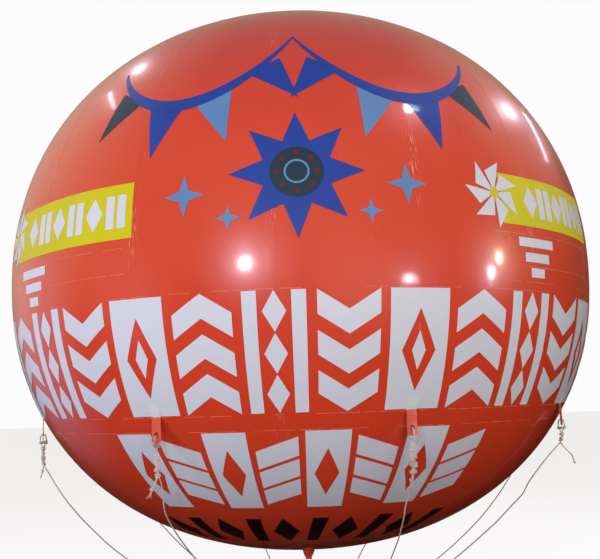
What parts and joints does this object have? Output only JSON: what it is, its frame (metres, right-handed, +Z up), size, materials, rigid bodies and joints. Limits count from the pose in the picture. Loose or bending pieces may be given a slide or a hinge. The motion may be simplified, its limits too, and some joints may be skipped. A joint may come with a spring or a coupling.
{
  "type": "advertising sky balloon",
  "caption": "Large round gored PVC advertising balloon with a glossy printed skin, tether tabs with eyelets below its widest circle, slack cords gathered at a ring, and a tied filling sleeve.",
  "frame": {"origin": "centre of the envelope's widest circle, at the mount named air", "axes": "+Z up along the envelope's axis from the base cap to the crown cap; -Y is the front, which the picture shows; seams lie every 22.5 degrees from -Y, and the tabs stand on every other one"},
  "size_m": [3.6616, 3.6616, 3.8089],
  "materials": {
    "envelope_film": "glossy printed PVC film, orange-red",
    "tab_strip": "coral reinforced PVC strip",
    "eyelet_metal": "nickelled, dulled",
    "cord": "off-white twisted cord",
    "sleeve_film": "bunched red PVC film",
    "ring_steel": "zinc plated"
  },
  "bodies": {
    "root": {"gore_01": "envelope_film", "gore_02": "envelope_film", "gore_03": "envelope_film", "gore_04": "envelope_film", "gore_05": "envelope_film", "gore_06": "envelope_film", "gore_07": "envelope_film", "gore_08": "envelope_film", "gore_09": "envelope_film", "gore_10": "envelope_film", "gore_11": "envelope_film", "gore_12": "envelope_film", "gore_13": "envelope_film", "gore_14": "envelope_film", "gore_15": "envelope_film", "gore_16": "envelope_film", "crown_cap": "envelope_film", "base_cap": "envelope_film", "tether_tab_1": "tab_strip", "tether_tab_2": "tab_strip", "tether_tab_3": "tab_strip", "tether_tab_4": "tab_strip", "tether_tab_5": "tab_strip", "tether_tab_6": "tab_strip", "tether_tab_7": "tab_strip", "tether_tab_8": "tab_strip", "tab_eyelet_1": "eyelet_metal", "tab_eyelet_2": "eyelet_metal", "tab_eyelet_3": "eyelet_metal", "tab_eyelet_4": "eyelet_metal", "tab_eyelet_5": "eyelet_metal", "tab_eyelet_6": "eyelet_metal", "tab_eyelet_7": "eyelet_metal", "tab_eyelet_8": "eyelet_metal", "tether_cord_1": "cord", "tether_cord_2": "cord", "tether_cord_3": "cord", "tether_cord_4": "cord", "tether_cord_5": "cord", "tether_cord_6": "cord", "tether_cord_7": "cord", "tether_cord_8": "cord", "filling_sleeve": "sleeve_film", "sleeve_tie": "cord", "tether_ring": "ring_steel"}
  },
  "joints": []
}
